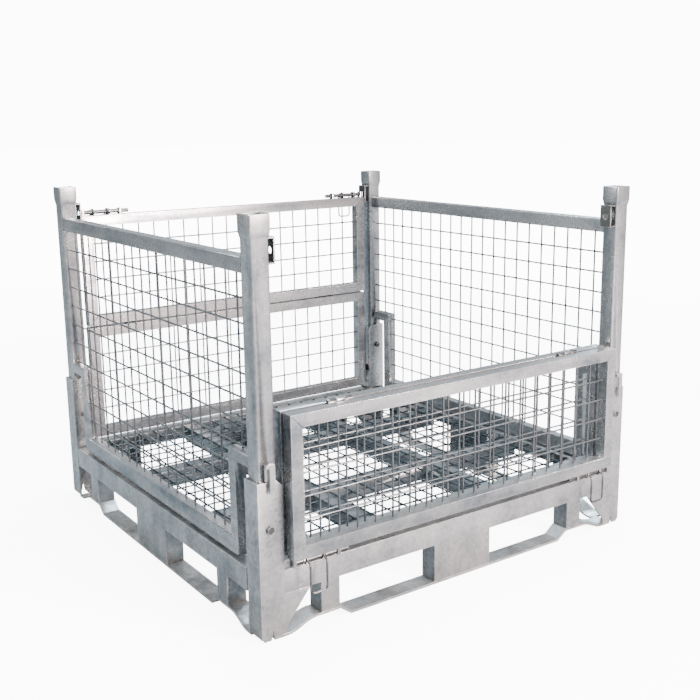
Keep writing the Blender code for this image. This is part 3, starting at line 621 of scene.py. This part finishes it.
for side in SIDES:
    body = f"{side}_side"
    eased(f"{side}_top_rail", RAIL_ROUND, tube_along, body, "galvanised_tube")
    eased(f"{side}_lower_frame", RAIL_ROUND, tube_along, body, "galvanised_tube")
    for end in ENDS:
        swaged_post(side, end)
    low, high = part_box(f"{side}_mesh")
    frame_low, frame_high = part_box(f"{side}_lower_frame")
    jog_top = frame_high[2]
    middle = (low[0] + high[0]) / 2
    stiles = (frame_low[1] + STILE_INSET, frame_high[1] - STILE_INSET)
    # columns and rows run on past the jog; below it, only those between the stiles are left
    columns = spread(low[1], high[1], COLUMN_PITCH)
    rows = spread(low[2], high[2], ROW_PITCH)
    wires = one_mesh(f"{side}_mesh_wires", [
        panel_mesh(side + "_upper", (low[1], jog_top), (high[1], high[2]), middle, side_panel,
                   5, columns, kept(rows, jog_top, high[2])),
        panel_mesh(side + "_lower", (stiles[0], low[2]), (stiles[1], jog_top), middle,
                   side_panel, 7, kept(columns, *stiles), kept(rows, low[2], jog_top))])
    carried(wires, body, "galvanised_wire", f"{side}_mesh")

# ---- gates ----------------------------------------------------------------------------
# Each gate is two frames of 30 mm square tube, mitred and welded, hinged in the middle,
# with a mesh panel in each half.
for end in ENDS:
    for half, body in (("gate", f"{end}_gate"), ("flap", f"{end}_flap")):
        eased(f"{end}_{half}_frame", RAIL_ROUND, tube_across, body, "galvanised_tube")
        low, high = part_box(f"{end}_{half}_mesh")
        wires = one_mesh(f"{end}_{half}_wires", [panel_mesh(
            f"{end}_{half}", (low[0], low[2]), (high[0], high[2]), (low[1] + high[1]) / 2,
            end_panel, 11, spread(low[0], high[0], COLUMN_PITCH),
            spread(low[2], high[2], ROW_PITCH))])
        carried(wires, body, "galvanised_wire", f"{end}_{half}_mesh")

# ---- weld beads -----------------------------------------------------------------------
# Short runs of overlapping drops, where the mitred corners of the gates meet and where
# the side frames' rails meet their posts. The zinc has dulled them.
DROP_STEP = 0.0022
DROP_R = 0.0021
bead_tree, given, gives = new_group(
    "weld_bead", "GeometryNodeTree",
    (("Start", "Vector"), ("Step", "Vector"), ("Drops", "Int"), ("Radius", "Float"),
     ("Seed", "Int"), ("Finish", "Material")), (("Geometry", "Geometry"),))
row = add(bead_tree, "GeometryNodeMeshLine", {
    "Count": given["Drops"], "Start Location": given["Start"], "Offset": given["Step"]})
drop = add(bead_tree, "GeometryNodeMeshUVSphere", {
    "Segments": NUGGET_SIDES, "Rings": NUGGET_RINGS, "Radius": given["Radius"]})
size = add(bead_tree, "FunctionNodeRandomValue", {
    "Min": (0.75, 0.75, 0.75), "Max": (1.15, 1.15, 1.15), "Seed": given["Seed"]},
    data_type="FLOAT_VECTOR")
run = add(bead_tree, "GeometryNodeInstanceOnPoints", {
    "Points": row.outputs[0], "Instance": drop.outputs[0], "Scale": size.outputs[0]})
run = add(bead_tree, "GeometryNodeRealizeInstances", {0: run.outputs[0]})
run = add(bead_tree, "GeometryNodeSetMaterial", {
    "Geometry": run.outputs[0], "Material": given["Finish"]})
bead_tree.links.new(run.outputs[0], gives["Geometry"])


def beads(name, runs, body, slot_name):
    """Weld runs between pairs of points, as one piece on one body."""
    meshes = []
    for index, (start, stop) in enumerate(runs):
        start, stop = Vector(start), Vector(stop)
        drops = max(2, round((stop - start).length / DROP_STEP))
        meshes.append(grown(f"{name}_{index}", bead_tree, {
            "Start": start, "Step": (stop - start) / (drops - 1), "Drops": drops,
            "Radius": DROP_R, "Seed": index + 1, "Finish": weld_zinc}))
    carried(one_mesh(name, meshes), body, slot_name)


GATE_TUBE = 0.030
BEAD_PROUD = 0.0004         # a bead's middle is this far inside the face it lies on
for end in ENDS:
    for half, body in (("gate", f"{end}_gate"), ("flap", f"{end}_flap")):
        low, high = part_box(f"{end}_{half}_mesh")
        middle = (low[1] + high[1]) / 2
        runs = []
        for face in (-1, 1):
            y = middle + face * (GATE_TUBE / 2 - BEAD_PROUD - DROP_R / 2)
            for x, x_out in ((low[0], -1), (high[0], 1)):
                for z, z_out in ((low[2], -1), (high[2], 1)):
                    runs.append(((x, y, z), (x + x_out * (GATE_TUBE - 0.004), y,
                                             z + z_out * (GATE_TUBE - 0.004))))
        beads(f"{end}_{half}_welds", runs, body, "galvanised_tube")
for side in SIDES:
    low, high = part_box(f"{side}_top_rail")
    runs = []
    for x in (low[0] + BEAD_PROUD, high[0] - BEAD_PROUD):
        for y in (low[1], high[1]):
            runs.append(((x, y, low[2] + 0.003), (x, y, high[2] - 0.003)))
    beads(f"{side}_rail_welds", runs, f"{side}_side", "galvanised_tube")

# ---- fittings -------------------------------------------------------------------------
# Bolts, catches, keepers and hinges are pressed or turned, plated a little darker than the frame,
# and given a strong painted highlight along all their edges.
FITTING_EDGE = 0.0006
for side in SIDES:
    for end in ENDS:
        eased(f"{side}_pivot_bolt_{end}", FITTING_EDGE, fitting_zinc, "base", "zinc_fittings", 2)
        eased(f"{side}_keeper_{end}", FITTING_EDGE, fitting_zinc, f"{side}_side",
              "zinc_fittings", 2)
        eased(f"{side}_catch_{end}", FITTING_EDGE, sheet_zinc, f"{side}_catch_{end}",
              "zinc_fittings", 2)
        eased(f"{end}_hinge_{side}", FITTING_EDGE, fitting_zinc, f"{end}_flap",
              "zinc_fittings", 2)

# ---- latches --------------------------------------------------------------------------
# A round bolt with two collars, turned in one piece, and a bent wire loop that the hand
# pulls, whose ends are curled round the bolt.
BOLT_R = 0.006
COLLAR_R = 0.0085
COLLAR_HALF = 0.0025
COLLAR_APART = 0.029
COLLAR_ROUND = 0.0005
TURNED_SIDES = 28
CHAMFER = 0.0012
BAIL_R = 0.0025
BAIL_HALF = 0.022
EYE_STEPS = 14
EYE_TURN = 1.75 * math.pi   # how far the wire curls round the bolt
EYE_CLEAR = 0.0002
BEND_STEPS = 4
BAIL_BEND = 0.009


def turned_bolt(name, profile, y, z):
    """A solid turned about a line along X. The profile is (x, radius)."""
    bm = bmesh.new()
    rings = []
    for x, radius in profile:
        rings.append([bm.verts.new((
            x, y + radius * math.cos(2 * math.pi * k / TURNED_SIDES),
            z + radius * math.sin(2 * math.pi * k / TURNED_SIDES)))
            for k in range(TURNED_SIDES)])
    skinned(bm, rings)
    bm.faces.new(rings[0])
    bm.faces.new(rings[-1])
    bmesh.ops.recalc_face_normals(bm, faces=bm.faces)
    return meshed(name, bm)


def latch(end, side):
    """The bolt that locks one top corner of a gate to a post."""
    node = f"{end}_latch_{side}"
    low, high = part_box(node)
    y, z = (low[1] + high[1]) / 2, (low[2] + high[2]) / 2
    bail_low, bail_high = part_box(f"{end}_bail_{side}")
    bail_x = (bail_low[0] + bail_high[0]) / 2
    profile = [(low[0], BOLT_R - CHAMFER), (low[0] + CHAMFER, BOLT_R)]
    for x in (bail_x - COLLAR_APART, bail_x + COLLAR_APART):
        profile += [
            (x - COLLAR_HALF, BOLT_R), (x - COLLAR_HALF, COLLAR_R - COLLAR_ROUND),
            (x - COLLAR_HALF + COLLAR_ROUND, COLLAR_R),
            (x + COLLAR_HALF - COLLAR_ROUND, COLLAR_R),
            (x + COLLAR_HALF, COLLAR_R - COLLAR_ROUND), (x + COLLAR_HALF, BOLT_R)]
    profile += [(high[0] - CHAMFER, BOLT_R), (high[0], BOLT_R - CHAMFER)]
    bolt = turned_bolt(node + "_steel", profile, y, z)
    bolt.data.materials.append(fitting_zinc)
    carried(bolt, node, "zinc_fittings", node)


def bail(end, side):
    """The loop hangs from the bolt, outside the gate."""
    node = f"{end}_bail_{side}"
    low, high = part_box(node)
    bolt_low, bolt_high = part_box(f"{end}_latch_{side}")
    y, z = (bolt_low[1] + bolt_high[1]) / 2, (bolt_low[2] + bolt_high[2]) / 2
    x_mid = (low[0] + high[0]) / 2
    outward = ENDS[end]
    out = (high[1] if outward > 0 else low[1]) - outward * BAIL_R
    foot = low[2] + BAIL_R
    eye = BOLT_R + BAIL_R + EYE_CLEAR
    reach = abs(out - y)

    def side_run(hand):
        x = x_mid + hand * BAIL_HALF
        points = []
        for step in range(EYE_STEPS, 0, -1):
            angle = EYE_TURN * step / EYE_STEPS
            points.append((x, y + outward * eye * math.cos(angle), z + eye * math.sin(angle)))
        points += [
            (x, y + outward * eye, z), (x, y + outward * (reach - 0.002), z - 0.004),
            (x, out, z - 0.010), (x, out, (z + foot) / 2), (x, out, foot + BAIL_BEND)]
        for step in range(1, BEND_STEPS + 1):
            angle = math.pi / 2 * step / BEND_STEPS
            points.append((
                x - hand * BAIL_BEND * (1 - math.cos(angle)), out,
                foot + BAIL_BEND * (1 - math.sin(angle))))
        return points

    points = side_run(-1) + side_run(1)[::-1]
    curve = bpy.data.curves.new(node, "CURVE")
    curve.dimensions = "3D"
    curve.bevel_depth = BAIL_R
    curve.bevel_resolution = 3
    curve.use_fill_caps = True
    spline = curve.splines.new("POLY")
    spline.points.add(len(points) - 1)
    for point, place in zip(spline.points, points):
        point.co = (*place, 1)
    holder = linked(node + "_curve", curve)
    graph = bpy.context.evaluated_depsgraph_get()
    mesh = bpy.data.meshes.new_from_object(holder.evaluated_get(graph))
    bpy.data.objects.remove(holder)
    bm = bmesh.new()
    bm.from_mesh(mesh)
    bmesh.ops.remove_doubles(bm, verts=bm.verts, dist=1e-6)
    bmesh.ops.recalc_face_normals(bm, faces=bm.faces)
    loop = meshed(node + "_wire", bm, math.radians(60))
    loop.data.materials.clear()
    loop.data.materials.append(fitting_zinc)
    carried(loop, node, "zinc_fittings", node)


for end in ENDS:
    for side in SIDES:
        latch(end, side)
        bail(end, side)
